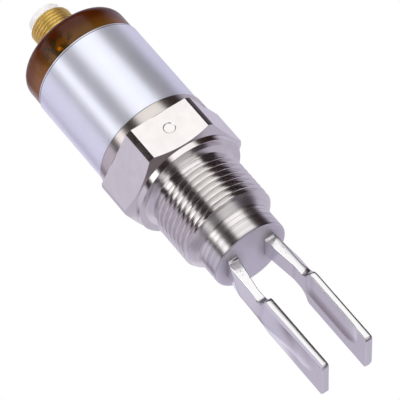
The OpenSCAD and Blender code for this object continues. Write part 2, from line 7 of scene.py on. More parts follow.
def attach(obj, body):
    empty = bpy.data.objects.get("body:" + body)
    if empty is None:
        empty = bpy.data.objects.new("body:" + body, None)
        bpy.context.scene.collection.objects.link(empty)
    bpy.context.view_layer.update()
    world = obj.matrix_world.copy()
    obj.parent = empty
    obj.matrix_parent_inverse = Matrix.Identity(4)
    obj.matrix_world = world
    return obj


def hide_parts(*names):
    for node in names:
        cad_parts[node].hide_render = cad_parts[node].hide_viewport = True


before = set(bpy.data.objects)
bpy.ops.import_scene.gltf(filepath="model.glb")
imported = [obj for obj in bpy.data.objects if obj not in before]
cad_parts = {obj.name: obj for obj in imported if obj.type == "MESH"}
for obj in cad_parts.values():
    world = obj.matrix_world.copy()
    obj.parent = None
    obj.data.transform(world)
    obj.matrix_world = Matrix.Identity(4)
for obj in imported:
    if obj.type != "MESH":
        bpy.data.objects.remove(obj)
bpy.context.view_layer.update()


# Fork: base ring, diaphragm and two tines milled from one bar of stainless steel. The ring is turned,
# the tines are ground and blasted to a satin finish, and the ring is welded to the process fitting.
class Value:
    """A socket that carries a number: each operator adds a Math node to its tree."""

    def __init__(self, tree, socket):
        self.tree = tree
        self.socket = socket

    def math(self, operation, *others):
        terms = dict(enumerate((self, *others)))
        return self.tree.add("ShaderNodeMath", {"operation": operation}, terms)

    def reflected(self, operation, other):
        return self.tree.add("ShaderNodeMath", {"operation": operation}, {0: other, 1: self})

    def __add__(self, other):
        return self.math("ADD", other)

    def __radd__(self, other):
        return self.reflected("ADD", other)

    def __sub__(self, other):
        return self.math("SUBTRACT", other)

    def __rsub__(self, other):
        return self.reflected("SUBTRACT", other)

    def __mul__(self, other):
        return self.math("MULTIPLY", other)

    def __rmul__(self, other):
        return self.reflected("MULTIPLY", other)

    def __truediv__(self, other):
        return self.math("DIVIDE", other)

    def __rtruediv__(self, other):
        return self.reflected("DIVIDE", other)

    def __abs__(self):
        return self.math("ABSOLUTE")

    def least(self, other):
        return self.math("MINIMUM", other)

    def step(self, low, high):
        """0 below low, 1 above high and a smooth rise between them."""
        return self.tree.add(
            "ShaderNodeMapRange",
            {"interpolation_type": "SMOOTHSTEP"},
            {0: self, 1: low, 2: high},
        )


class Tree:
    """A node tree in which add() makes a node, sets it and links it."""

    def __init__(self, tree):
        self.tree = tree

    def add(self, kind, settings=None, inputs=None, out=0):
        node = self.tree.nodes.new(kind)
        for key, value in (settings or {}).items():
            if key == "stops":
                ramp = node.color_ramp.elements
                ramp.remove(ramp[1])
                ramp[0].position, ramp[0].color = value[0][0], (*value[0][1], 1.0)
                for place, colour in value[1:]:
                    ramp.new(place).color = (*colour, 1.0)
            else:
                setattr(node, key, value)
        for key, value in (inputs or {}).items():
            if isinstance(value, Value):
                self.tree.links.new(value.socket, node.inputs[key])
            else:
                node.inputs[key].default_value = value
        return Value(self, node.outputs[out])

    def end(self, kind, value):
        """Link a value to the first socket of a new output node."""
        self.tree.links.new(value.socket, self.tree.nodes.new(kind).inputs[0])


class Finish(Tree):
    """A material whose patterns read the piece's own coordinates, in millimetres."""

    def __init__(self, name, constants):
        self.material = bpy.data.materials.new(name)
        self.material.use_nodes = True
        super().__init__(self.material.node_tree)
        self.shader = self.tree.nodes["Principled BSDF"]
        for socket, value in constants.items():
            self.shader.inputs[socket].default_value = value
        metres = self.add("ShaderNodeTexCoord", out="Object")
        self.place = self.add("ShaderNodeVectorMath", {"operation": "SCALE"}, {0: metres, "Scale": 1000.0})

    def axis(self, name):
        return self.add("ShaderNodeSeparateXYZ", inputs={0: self.place}, out=name)

    def radius(self):
        x, y = self.axis("X"), self.axis("Y")
        return (x * x + y * y).math("SQRT")

    def noise(self, per_mm, detail=2.0, along=None):
        """Even noise, or with along, lines across that one direction."""
        if along is None:
            cloud = {"Vector": self.place, "Scale": per_mm, "Detail": detail}
            return self.add("ShaderNodeTexNoise", None, cloud)
        lines = {"W": along, "Scale": per_mm, "Detail": detail}
        return self.add("ShaderNodeTexNoise", {"noise_dimensions": "1D"}, lines)

    def mix(self, share, a, b):
        a, b = (c if isinstance(c, Value) else (*c, 1.0) for c in (a, b))
        return self.add("ShaderNodeMix", {"data_type": "RGBA"}, {0: share, 6: a, 7: b}, out=2)

    def feed(self, socket, value):
        self.tree.links.new(value.socket, self.shader.inputs[socket])

    def relief(self, height, depth):
        """Bump whose full height is that depth in millimetres."""
        bump = {"Strength": 1.0, "Distance": depth * 0.001, "Height": height}
        self.feed("Normal", self.add("ShaderNodeBump", None, bump))


def dressed(obj, finish, crisp=30):
    """Merge the doubles, turn the faces outwards, keep edges crisp past that angle, give the finish."""
    bm = bmesh.new()
    bm.from_mesh(obj.data)
    bmesh.ops.remove_doubles(bm, verts=bm.verts, dist=2e-6)
    bmesh.ops.dissolve_degenerate(bm, dist=1e-7, edges=bm.edges)
    bmesh.ops.recalc_face_normals(bm, faces=bm.faces)
    bm.to_mesh(obj.data)
    bm.free()
    obj.data.materials.clear()
    obj.data.materials.append(finish.material)
    obj.data.shade_smooth()
    obj.data.set_sharp_from_angle(angle=math.radians(crisp))
    return obj


def piece(name, points, faces):
    """A mesh object at the origin from points in millimetres."""
    mesh = bpy.data.meshes.new(name)
    mesh.from_pydata([tuple(c * 0.001 for c in p) for p in points], [], faces)
    obj = bpy.data.objects.new(name, mesh)
    bpy.context.scene.collection.objects.link(obj)
    return obj


def turned(rows, columns, closed=False):
    """Points and faces of a profile turned about Z. A row is (radius, height), or a function of the
    angle that gives (radius, height, angle)."""
    points, faces = [], []
    for row in rows:
        for i in range(columns):
            angle = 2 * math.pi * i / columns
            r, z, angle = row(angle) if callable(row) else (*row, angle)
            points.append((r * math.cos(angle), r * math.sin(angle), z))
    for j in range(len(rows) if closed else len(rows) - 1):
        low, high = j * columns, (j + 1) % len(rows) * columns
        for i in range(columns):
            k = (i + 1) % columns
            faces.append((low + i, low + k, high + k, high + i))
    return points, faces


def eased(corners, radius):
    """The same outline with each inner corner replaced by a small curve."""
    line = [corners[0]]
    for a, b, c in zip(corners, corners[1:], corners[2:]):
        reach = min(radius, 0.45 * math.dist(a, b), 0.45 * math.dist(b, c))
        start = [q + (p - q) * reach / math.dist(a, b) for p, q in zip(a, b)]
        end = [q + (p - q) * reach / math.dist(c, b) for p, q in zip(c, b)]
        for t in (0, 0.25, 0.5, 0.75, 1):
            line.append(tuple(
                s * (1 - t) ** 2 + 2 * q * t * (1 - t) + e * t * t for s, q, e in zip(start, b, end)
            ))
    return line + [corners[-1]]


def evaluated(obj):
    """Turn an object with modifiers into a plain mesh."""
    graph = bpy.context.evaluated_depsgraph_get()
    mesh = bpy.data.meshes.new_from_object(obj.evaluated_get(graph), depsgraph=graph)
    obj.modifiers.clear()
    obj.data = mesh
    return obj


def cut_or_joined(obj, others, operation):
    """Take the other solids off this one, or join them to it."""
    for other in others:
        step = obj.modifiers.new(other.name, "BOOLEAN")
        step.operation, step.solver, step.object = operation, "EXACT", other
    evaluated(obj)
    for other in others:
        bpy.data.objects.remove(other)
    return obj


def clamp(t):
    return min(1.0, max(0.0, t))


def smooth(t):
    return clamp(t) ** 2 * (3 - 2 * clamp(t))


weld_z, end_z, tip_z, flare_z = -22.0, -26.0, -66.0, -38.85
neck_r, weld_groove, end_round, drive_bore_r, diaphragm_z = 10.7, 0.06, 0.6, 9.0, -25.0
boss_r, boss_top, bolt_hole_r, bolt_hole_low = 3.2, diaphragm_z + 3, 2.05, diaphragm_z + 0.3
base_outside = eased([(0, end_z), (neck_r, end_z), (neck_r, weld_z - weld_groove)], end_round)
fork_base = piece("fork_body", *turned(base_outside + [
    (neck_r - weld_groove, weld_z), (drive_bore_r, weld_z), (drive_bore_r, diaphragm_z),
    (boss_r, diaphragm_z), (boss_r, boss_top), (bolt_hole_r, boss_top), (bolt_hole_r, bolt_hole_low),
    (0, bolt_hole_low),
], columns=144))
shank_half, blade_half = 3.3, 6.5


def tine_outline():
    """Half width and height down a tine: pad at the root, shank, S-shaped flare, blade, round corner."""
    flare_r, shoulder_r, corner_r, pad, root_round, row_gap = 3.2, 1.2, 1.1, 0.35, 0.1, 0.5
    sunk_z, pad_z, shank_z = end_z + 0.5, end_z - 0.35, end_z - 0.8
    flare_y, shoulder_y = shank_half + flare_r, blade_half - shoulder_r
    bend = math.acos((flare_y - shoulder_y) / (flare_r + shoulder_r))
    shoulder_z = flare_z - (flare_r + shoulder_r) * math.sin(bend)
    hollow = [
        (flare_y - flare_r * math.cos(a), flare_z - flare_r * math.sin(a))
        for a in (bend * i / 18 for i in range(19))
    ]
    shoulder = [
        (shoulder_y + shoulder_r * math.cos(a), shoulder_z + shoulder_r * math.sin(a))
        for a in (bend * i / 10 for i in range(9, -1, -1))
    ]
    corner = [
        (blade_half - corner_r * (1 - math.cos(a)), tip_z + corner_r * (1 - math.sin(a)))
        for a in (math.radians(90 * i / 24) for i in range(25))
    ]
    root = [(shank_half + pad, sunk_z), (shank_half + pad, pad_z), (shank_half, shank_z), hollow[0]]
    line = eased(root, root_round) + hollow[1:] + shoulder + corner
    rows = [line[0]]
    for (w, z), (w_next, z_next) in zip(line, line[1:]):
        steps = max(1, math.ceil(abs(z - z_next) / row_gap))
        rows += [
            (w + (w_next - w) * i / steps, z + (z_next - z) * i / steps) for i in range(1, steps + 1)
        ]
    return rows


def ground_band(y, z, fall):
    """Share of full depth in the band that the wheel grinds along a blade: steep at one side, level or
    with a little fall to the other, and with a round end before the tip."""
    middle, steep, easy = -2.0, 4.4, 4.5
    start_z, start_len, round_z, round_r = -41.0, 3.0, -57.0, 5.0
    width = math.sqrt(1 - clamp((round_z - z) / round_r) ** 2)
    if y > middle:
        share = max(0, 1 - ((y - middle) / (steep * max(width, 0.01))) ** 2)
    else:
        share = 1 - fall * ((y - middle) / easy) ** 2
    return share * width * smooth((start_z - z) / start_len)


def tine_section(half, z):
    """Outline of a tine at one height: flat inside, with a blunt ridge at the back that spreads and dies
    out on the blade, bevelled edges, and a ground band along both faces of the blade."""
    root_in, draft, draft_len = 4.05, 1.5, 10.5
    root_out, back_rise, rise_len = 7.15, 2.3, 8.4
    crest_out, crest_fall, fall_z, fall_len = 9.5, 1.9, flare_z - 3.5, 14
    side_out, side_gain, side_len = 7.45, 0.15, 2.5
    spread_z, spread_len, ridge_r, root_blend = flare_z + 2.5, 8, 0.3, 0.02
    tip_r, band_depth, band_height, least_half, blade_len, steps = 0.28, 0.25, 0.2, 0.03, 3.5, 26
    blade = smooth((flare_z - z) / blade_len)
    inner = root_in + draft * clamp((end_z - z) / draft_len)
    back = root_out + back_rise * clamp((end_z - z) / rise_len)
    crest = crest_out - crest_fall * smooth((fall_z - z) / fall_len)
    side = side_out + side_gain * smooth((flare_z - z) / side_len)
    foot = shank_half + (blade_half - shank_half) * smooth((spread_z - z) / spread_len)
    lean = (crest - side) / foot
    inside_edge, inside_grade = 0.22 + 0.02 * blade, 1.3 + 0.45 * blade
    wide_edge, wide_grade = 0.16 + 0.65 * blade, 0.62 - lean * blade
    small_edge, small_grade = 0.1 + 0.14 * blade, 1.9
    thin = clamp((tip_z + tip_r - z) / tip_r)
    inset = tip_r * (1 - math.sqrt(1 - thin ** 2))
    front, rear = [], []
    for i in range(-steps, steps + 1):
        y = half * math.sin(math.pi / 2 * i / steps)
        past = half - abs(y)
        bevel = max(inside_edge - inside_grade * past, 0)
        slope = max((wide_edge - past) * wide_grade if y > 0 else small_edge - small_grade * past, 0)
        ridge = crest - lean * math.hypot(y, ridge_r)
        ridge = 0.5 * (back + ridge - math.sqrt((back - ridge) ** 2 + root_blend))
        low = inner + bevel + band_depth * ground_band(y, z, fall=0.0) + inset
        high = ridge - slope + band_height * ground_band(-y, z, fall=0.3) - inset
        if high - low < 2 * least_half:
            low, high = (low + high) / 2 - least_half, (low + high) / 2 + least_half
        front.append((low, y, z))
        rear.append((high, y, z))
    return front + rear[::-1]


def tine(name, side):
    """A tine as a stack of its outlines. The left one is the right one turned half round the axis."""
    points, faces = [], []
    rows = tine_outline()
    for half, z in rows:
        points += [(side * x, side * y, z) for x, y, z in tine_section(half, z)]
    ring = len(points) // len(rows)
    for j in range(len(rows) - 1):
        for i in range(ring):
            k = (i + 1) % ring
            faces.append((j * ring + i, j * ring + k, (j + 1) * ring + k, (j + 1) * ring + i))
    faces += [tuple(range(ring)), tuple(range(len(points) - ring, len(points)))]
    return piece(name, points, faces)


blasted_steel = Finish("blasted_steel", {"Metallic": 1.0})
grain = blasted_steel.noise(1.6, 3.0)
pitted_low, pitted_high, root_middle = -36.5, -31.0, 5.6
side_face = abs(blasted_steel.axis("Y")).step(shank_half - 0.1, shank_half - 0.05)
side_face = side_face * blasted_steel.axis("Z").step(pitted_low, pitted_high)
below_root = 1 - blasted_steel.axis("Z").step(end_z - 0.7, end_z - 0.6)
pits = blasted_steel.noise(2.2, 1.0).step(0.66, 0.72) * side_face * below_root
bare = blasted_steel.mix(grain, (0.70, 0.705, 0.72), (0.80, 0.80, 0.815))
base_ring = blasted_steel.axis("Z").step(end_z + 0.1, end_z + 0.3)
ring_lines = blasted_steel.noise(1.1, 1.0, blasted_steel.axis("Z")).step(0.4, 0.62)
bare = blasted_steel.mix(base_ring * (0.4 + 0.4 * ring_lines), bare, (0.52, 0.49, 0.50))
end_face = blasted_steel.axis("Z").step(end_z - 0.25, end_z - 0.1)
end_face = end_face * (1 - blasted_steel.radius().step(neck_r - 0.4, neck_r - 0.1))
bare = blasted_steel.mix(end_face, bare, (0.83, 0.82, 0.87))
# Painted shade: the end face is darkened round the roots of the tines, where shade falls in the corners.
from_root_x = abs(blasted_steel.axis("X")) - root_middle
from_root_y = 0.55 * blasted_steel.axis("Y")
from_root = (from_root_x * from_root_x + from_root_y * from_root_y).math("SQRT")
painted_root_shade = 1 - from_root.step(1.2, 4.6)
bare = blasted_steel.mix(end_face * painted_root_shade * 0.6, bare, (0.42, 0.39, 0.41))
# Painted light: the base colour is lightened at the tip end to even out the darker strip there; the same
# mask makes the tip end rougher.
tip_end = 1 - blasted_steel.axis("Z").step(tip_z + 0.1, tip_z + 0.6)
tip_with_painted_light = blasted_steel.mix(tip_end, bare, (0.82, 0.82, 0.83))
blasted_steel.feed("Base Color", blasted_steel.mix(pits * 0.8, tip_with_painted_light, (0.25, 0.21, 0.22)))
duller = 0.2 * pits + 0.33 * end_face + 0.2 * tip_end + 0.07 * base_ring
blasted_steel.feed("Roughness", 0.13 + 0.07 * grain + duller)
blasted_steel.relief(grain - 0.5 * pits, 0.003)
tines = [tine("tine_right", 1), tine("tine_left", -1)]
for solid in (fork_base, *tines):
    dressed(solid, blasted_steel)
fork = dressed(cut_or_joined(fork_base, tines, "UNION"), blasted_steel, crisp=34)
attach(fork, "root")
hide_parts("fork")


# Process fitting: turned from one stainless bar, with a neck, a right-hand pipe thread, a collar with
# the sealing face, a milled hexagon and a bright ring. The housing tube is pressed on its spigot.
def node_group(name, inputs):
    """A Geometry Nodes tree with named inputs; gives the tree, its inputs and what takes the result."""
    group = bpy.data.node_groups.new(name, "GeometryNodeTree")
    group.interface.new_socket("Geometry", in_out="OUTPUT", socket_type="NodeSocketGeometry")
    for label, kind in inputs.items():
        group.interface.new_socket(label, in_out="INPUT", socket_type="NodeSocket" + kind)
    tree = Tree(group)
    entry = group.nodes.new("NodeGroupInput")
    sockets = {label: Value(tree, entry.outputs[label]) for label in inputs}

    def finished(geometry):
        whole = tree.add("GeometryNodeRealizeInstances", None, {"Geometry": geometry})
        coloured = {"Geometry": whole, "Material": sockets["Material"]}
        tree.end("NodeGroupOutput", tree.add("GeometryNodeSetMaterial", None, coloured))

    return tree, sockets, finished


def grown(name, tree, values):
    """An object made by a node tree from values given by the names of its inputs."""
    obj = piece(name, [], [])
    grower = obj.modifiers.new(name, "NODES")
    grower.node_group = tree.tree
    for item in tree.tree.interface.items_tree:
        if item.in_out == "INPUT":
            grower[item.identifier] = values[item.name]
    return evaluated(obj)


thread_tree, given, thread_done = node_group("thread", {
    "Radius": "Float", "Depth": "Float", "Pitch": "Float", "Bottom": "Float", "Top": "Float",
    "Bottom Radius": "Float", "Top Radius": "Float", "Columns": "Int", "Rows": "Int", "Material": "Material",
})
sheet = thread_tree.add("GeometryNodeMeshGrid", None, {
    "Size X": 1.0, "Size Y": 1.0, "Vertices X": given["Columns"] + 1, "Vertices Y": given["Rows"],
})
spot = thread_tree.add("GeometryNodeInputPosition")
turn = thread_tree.add("ShaderNodeSeparateXYZ", None, {0: spot}, "X") + 0.5
rise = thread_tree.add("ShaderNodeSeparateXYZ", None, {0: spot}, "Y") + 0.5
height = given["Bottom"] + rise * (given["Top"] - given["Bottom"])
phase = (height / given["Pitch"] - turn).math("FRACT")
flank_start, flank_end = 0.12, 0.94
groove = (1 - abs(phase * 2 - 1)).step(flank_start, flank_end)
above, below = height - given["Bottom"], given["Top"] - height
depth = given["Depth"].least(given["Radius"] - given["Bottom Radius"] + above)
radius = (given["Radius"] - depth * groove).least(given["Bottom Radius"] + above)
radius = radius.least(given["Top Radius"] + below)
angle = turn * (2 * math.pi)
there = thread_tree.add("ShaderNodeCombineXYZ", None, {
    "X": radius * angle.math("COSINE"), "Y": radius * angle.math("SINE"), "Z": height,
})
rolled = thread_tree.add("GeometryNodeSetPosition", None, {"Geometry": sheet, "Position": there})
thread_done(thread_tree.add("GeometryNodeMergeByDistance", None, {"Geometry": rolled, "Distance": 1e-6}))


def threaded(obj, finish, columns, rows, sizes):
    """Weld a thread, given in millimetres, into the open edges of a turned piece."""
    values = {label: size * 0.001 for label, size in sizes.items()}
    values |= {"Columns": columns, "Rows": rows, "Material": finish.material}
    thread = grown(obj.name + "_thread", thread_tree, values)
    bm = bmesh.new()
    bm.from_mesh(obj.data)
    bm.from_mesh(thread.data)
    bm.to_mesh(obj.data)
    bm.free()
    bpy.data.objects.remove(thread)
    return dressed(obj, finish, crisp=40)


hex_flat, hex_corner, collar_r, hex_low, hex_top = 16.0, 18.0, 15.6, 1.75, 13.4
ring_r, ring_top, tube_seat_r, tube_seat_top, room_r, room_floor = 16.15, 16.85, 15.0, 20.5, 13.0, 8
pipe_r, pipe_depth, pipe_pitch, pipe_low, pipe_high = 13.2205, 1.16, 1.814, -17.2, -2.6
pipe_start_r, pipe_end_r, pipe_end_z, face_in, neck_top = pipe_r - 1, 12.05, -0.9, 13.6, -19.2
corner_turn = math.acos(hex_flat / hex_corner)
bright_steel = Finish("bright_turned_steel", {"Metallic": 1.0})
lathe_line = bright_steel.axis("Z") + bright_steel.radius()
marks = bright_steel.noise(7.0, 3.0, lathe_line)
stain = bright_steel.noise(0.35, 2.0)
ring_zone = bright_steel.axis("Z").step(hex_top - 0.02, hex_top + 0.02)
# Painted shade: a dark line at the top of the ring, where the gap to the housing tube lies in shade.
painted_seam_shade = 1 - abs(bright_steel.axis("Z") - ring_top).step(0.1, 0.22)
clean = bright_steel.mix(stain, (0.68, 0.655, 0.65), (0.79, 0.77, 0.765))
worn = bright_steel.mix(ring_zone * marks, clean, (0.50, 0.44, 0.41))
neck_zone = 1 - bright_steel.axis("Z").step(pipe_low - 0.8, pipe_low + 0.7)
tool_rings = bright_steel.noise(1.1, 1.0, lathe_line).step(0.5, 0.62) * neck_zone
worn = bright_steel.mix(tool_rings * 0.5, worn, (0.40, 0.37, 0.38))
bright_steel.feed("Base Color", bright_steel.mix(painted_seam_shade, worn, (0.03, 0.025, 0.025)))
bright_steel.feed("Roughness", 0.09 + 0.08 * marks + 0.05 * stain + 0.07 * ring_zone + 0.1 * neck_zone)
bright_steel.relief(marks, 0.005)


def hexagon(height):
    """A row round the hexagon, with its points drawn onto the edges of the blunt corners. With no height
    it follows the bevel under the hexagon."""
    bevel_grade, pull = math.tan(math.radians(30)), math.radians(0.6)

    def row(angle):
        near = round((angle - math.pi / 6) / (math.pi / 3)) * math.pi / 3 + math.pi / 6
        off = angle - near
        if abs(abs(off) - corner_turn) < pull:
            off = math.copysign(corner_turn, off)
        r = min(hex_flat / math.cos(off), hex_corner)
        bevel = hex_low + (r - collar_r) * bevel_grade
        return r, bevel if height is None else height, near + off
    return row


lower_edge = eased([
    (pipe_end_r, pipe_high), (pipe_end_r, pipe_end_z), (face_in, 0), (collar_r, 0), (collar_r, hex_low),
], radius=0.22)
ring_edge = eased([
    (ring_r, hex_top), (ring_r, ring_top), (tube_seat_r, ring_top), (tube_seat_r, tube_seat_top),
], radius=0.2)
neck_edge = eased([
    (neck_r - weld_groove, weld_z), (neck_r, weld_z + weld_groove), (neck_r, neck_top),
    (pipe_start_r, pipe_low),
], radius=0.5)
fitting_rows = lower_edge + [hexagon(None), hexagon(hex_top)] + ring_edge + [
    (room_r, tube_seat_top), (room_r, room_floor), (drive_bore_r, room_floor), (drive_bore_r, weld_z),
] + neck_edge
fitting_body = piece("fitting_body", *turned(fitting_rows, columns=144))
fitting = threaded(fitting_body, bright_steel, columns=144, rows=176, sizes={
    "Radius": pipe_r, "Depth": pipe_depth, "Pitch": pipe_pitch, "Bottom": pipe_low, "Top": pipe_high,
    "Bottom Radius": pipe_start_r, "Top Radius": pipe_end_r,
})
mark_r, mark_depth, mark_z, tool_reach = 1.65, 0.2, 8.27, 0.6
mark_points, mark_faces = turned(eased([
    (0, tool_reach), (mark_r + tool_reach, tool_reach), (mark_r, 0), (mark_r - mark_depth, -mark_depth),
    (0, -mark_depth),
], radius=0.06), columns=48)
mark_tool = piece("mark_tool", [(x, -hex_flat - z, mark_z + y) for x, y, z in mark_points], mark_faces)
dressed(mark_tool, bright_steel)
fitting = dressed(cut_or_joined(fitting, [mark_tool], "DIFFERENCE"), bright_steel, crisp=25)
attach(fitting, "root")
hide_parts("process_fitting")


# Steel pieces of the drive: tension bolt, pressure bush, thrust washer and tension nut. All are turned
# from free-cutting steel; the nut pulls the stack of rings down on the bush with the bolt.
def wear(node, finish):
    """Give a finish to a piece that keeps its CAD mesh."""
    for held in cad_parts[node].material_slots:
        held.material = finish.material


machined_steel = Finish("machined_steel", {"Metallic": 1.0})
feed_marks = machined_steel.noise(9.0, 2.0, machined_steel.axis("Z") + machined_steel.radius())
machined_steel.feed("Base Color", machined_steel.mix(feed_marks, (0.50, 0.50, 0.52), (0.66, 0.66, 0.68)))
machined_steel.feed("Roughness", 0.24 + 0.14 * feed_marks)
machined_steel.relief(feed_marks, 0.01)
for node in ("tension_bolt", "pressure_bush", "thrust_washer", "tension_nut"):
    wear(node, machined_steel)


# Insulating sleeve: a thin moulded plastic tube pushed over the bolt. It keeps the electrodes off the
# steel and centres the rings.
def moulded(name, dark, light, roughness, per_mm, depth):
    """A matt finish with a fine even grain, as moulded plastic, ceramic and rubber have."""
    finish = Finish(name, {})
    fine = finish.noise(per_mm, 3.0)
    finish.feed("Base Color", finish.mix(fine, dark, light))
    finish.feed("Roughness", roughness + 0.2 * fine)
    finish.relief(fine, depth)
    return finish


wear("insulating_sleeve", moulded("sleeve_plastic", (0.72, 0.70, 0.60), (0.86, 0.84, 0.76), 0.4, 3.0, 0.01))


# Insulating rings: two fired alumina rings, ground flat, one under and one over the stack. They keep
# the outer electrodes off the bush and the washer.
alumina = moulded("fired_alumina", (0.82, 0.80, 0.75), (0.92, 0.91, 0.87), 0.5, 6.0, 0.008)
for node in ("lower_insulator", "upper_insulator"):
    wear(node, alumina)


# Piezo rings: four sintered ceramic rings with silvered faces. They are stacked on the sleeve and held
# by the bolt's pull alone.
piezo_ceramic = Finish("piezo_ceramic", {})
sinter = piezo_ceramic.noise(5.0, 4.0)
pores = piezo_ceramic.noise(2.2, 1.0).step(0.66, 0.74)
fired = piezo_ceramic.mix(sinter, (0.22, 0.20, 0.18), (0.42, 0.39, 0.35))
piezo_ceramic.feed("Base Color", piezo_ceramic.mix(pores, fired, (0.12, 0.11, 0.10)))
piezo_ceramic.feed("Roughness", 0.45 + 0.25 * sinter)
piezo_ceramic.relief(sinter - pores, 0.01)
wear("piezo_rings", piezo_ceramic)


# Electrode rings: five rings punched from thin brass foil, each with a solder tab. They lie between
# the piezo rings, their tabs on two sides in turn.
foil_brass = Finish("foil_brass", {"Metallic": 1.0})
rolling = foil_brass.noise(6.0, 2.0, foil_brass.axis("X"))
foil_brass.feed("Base Color", foil_brass.mix(rolling, (0.56, 0.43, 0.18), (0.74, 0.60, 0.30)))
foil_brass.feed("Roughness", 0.25 + 0.15 * rolling)
foil_brass.relief(rolling, 0.004)
wear("electrode_rings", foil_brass)


# Lead wires: stranded copper in coloured insulation, two from the electrode tabs up to the board and
# four from the board to the plug. They are soldered at both ends.
for node, dark, light in (
    ("piezo_leads", (0.36, 0.07, 0.05), (0.52, 0.12, 0.08)),
    ("connector_leads", (0.14, 0.15, 0.17), (0.25, 0.27, 0.30)),
):
    wear(node, moulded(node + "_insulation", dark, light, 0.35, 4.0, 0.01))


# Board holder: a moulded plastic disc that lies on the fitting's spigot. The circuit board stands in
# its slot, and two windows let the potting through.
holder_plastic = moulded("holder_plastic", (0.035, 0.036, 0.04), (0.075, 0.077, 0.082), 0.45, 2.5, 0.015)
wear("board_holder", holder_plastic)


# Circuit board: glass-fibre laminate under green lacquer, with copper tracks that show through it.
# Its tongue reaches down to the drive and its two ears carry the lamps.
board_lacquer = Finish("board_lacquer", {"Coat Weight": 0.4, "Coat Roughness": 0.15})
weave = board_lacquer.noise(7.0, 1.0)
tracks = board_lacquer.add("ShaderNodeTexBrick", {"offset": 0.35}, {
    "Vector": board_lacquer.add("ShaderNodeMapping", None, {
        "Vector": board_lacquer.place, "Rotation": (math.pi / 2, 0.0, 0.0),
    }),
    "Scale": 0.55, "Mortar Size": 0.045, "Brick Width": 1.7, "Row Height": 0.55,
}, "Fac")
lacquer = board_lacquer.mix(weave, (0.012, 0.10, 0.035), (0.025, 0.16, 0.06))
board_lacquer.feed("Base Color", board_lacquer.mix(tracks, lacquer, (0.07, 0.30, 0.11)))
board_lacquer.feed("Roughness", 0.30 + 0.1 * weave)
board_lacquer.relief(tracks, 0.03)
wear("circuit_board", board_lacquer)


# Chips: microcontroller, two output transistors and the sensor for a test magnet. All are moulded in
# black epoxy and soldered to the faces of the board.
epoxy = moulded("black_epoxy", (0.016, 0.016, 0.018), (0.04, 0.04, 0.044), 0.5, 8.0, 0.012)
for node in ("microcontroller", "output_transistors", "hall_sensor"):
    wear(node, epoxy)


# Chip resistors: six ceramic blocks with a dark glazed top and tinned ends. They stand in a row beside
# the microcontroller.
glazed_chip = Finish("glazed_chip", {})
fired_grain = glazed_chip.noise(9.0, 2.0)
row_x, tin_start = -9.7, 0.5
tinned = abs(glazed_chip.axis("X") - row_x).step(tin_start, tin_start + 0.06)
body = glazed_chip.mix(fired_grain, (0.02, 0.022, 0.026), (0.05, 0.055, 0.06))
glazed_chip.feed("Base Color", glazed_chip.mix(tinned, body, (0.70, 0.70, 0.72)))
glazed_chip.feed("Metallic", tinned)
glazed_chip.feed("Roughness", 0.3 + 0.2 * fired_grain)
wear("chip_resistors", glazed_chip)


# Buffer capacitor: an aluminium can drawn from sheet, its edge rolled over. It lies on the front of
# the board.
drawn_can = Finish("drawn_can", {"Metallic": 1.0})
drawing = drawn_can.noise(5.0, 2.0, drawn_can.axis("Y"))
drawn_can.feed("Base Color", drawn_can.mix(drawing, (0.54, 0.55, 0.58), (0.74, 0.75, 0.78)))
drawn_can.feed("Roughness", 0.28 + 0.12 * drawing)
drawn_can.relief(drawing, 0.008)
wear("capacitor", drawn_can)


# Indicator lamps: four small lamps with a clear amber resin lens on both faces of both ears. They
# shine through the cap.
lens_resin = Finish("lens_resin", {"Coat Weight": 0.6, "Emission Strength": 0.5})
cloud = lens_resin.noise(1.5, 2.0)
lens_resin.feed("Base Color", lens_resin.mix(cloud, (0.80, 0.36, 0.06), (0.95, 0.56, 0.16)))
lens_resin.feed("Emission Color", lens_resin.mix(cloud, (0.85, 0.36, 0.04), (1.0, 0.55, 0.12)))
lens_resin.feed("Roughness", 0.15 + 0.1 * cloud)
wear("indicator_lamps", lens_resin)


# Housing tube: drawn stainless tube, finely ground to a satin sheen. It is pressed on the fitting's
# spigot and takes the cap at its other end. Its foot is painted dark as shade in the joint gap, and a
# fine dark line runs below the cap.
tube_outer, tube_inner, tube_low, tube_high, tube_bevel = 15.85, 15.05, ring_top, 45.2, 0.2
satin_steel = Finish("satin_ground_steel", {"Metallic": 0.6, "Specular IOR Level": 0.6})
ground = satin_steel.noise(11.0, 3.0, satin_steel.axis("Z"))
cast_tone = satin_steel.noise(0.12, 2.0)
# Painted shade: the foot of the tube is darkened where the joint gap to the fitting's ring lies in shade.
painted_foot_shade = 1 - satin_steel.axis("Z").step(tube_low + 0.1, tube_low + 0.2)
cap_line = 1 - abs(satin_steel.axis("Z") - (tube_high - 0.6)).step(0.04, 0.14)
satin = satin_steel.mix(cast_tone, (0.80, 0.84, 0.96), (0.87, 0.91, 1.0))
satin_steel.feed("Base Color", satin_steel.mix(painted_foot_shade + cap_line, satin, (0.05, 0.045, 0.05)))
satin_steel.feed("Roughness", 0.26 + 0.08 * ground + 0.04 * cast_tone)
satin_steel.relief(ground, 0.003)
tube_side = eased([
    (tube_inner, tube_low), (tube_outer - tube_bevel, tube_low), (tube_outer, tube_low + tube_bevel),
    (tube_outer, tube_high - tube_bevel), (tube_outer - tube_bevel, tube_high), (tube_inner, tube_high),
], radius=0.08)
tube = dressed(piece("tube_body", *turned(tube_side, columns=192, closed=True)), satin_steel)
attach(tube, "root")
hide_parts("housing_tube")


# Seal rings: two moulded rubber rings of round section, one in the groove of the cap's spigot and one
# in the flange of the plug.
seal_rubber = moulded("seal_rubber", (0.012, 0.012, 0.012), (0.03, 0.03, 0.03), 0.6, 3.0, 0.01)
for node in ("cap_seal", "connector_seal"):
    wear(node, seal_rubber)


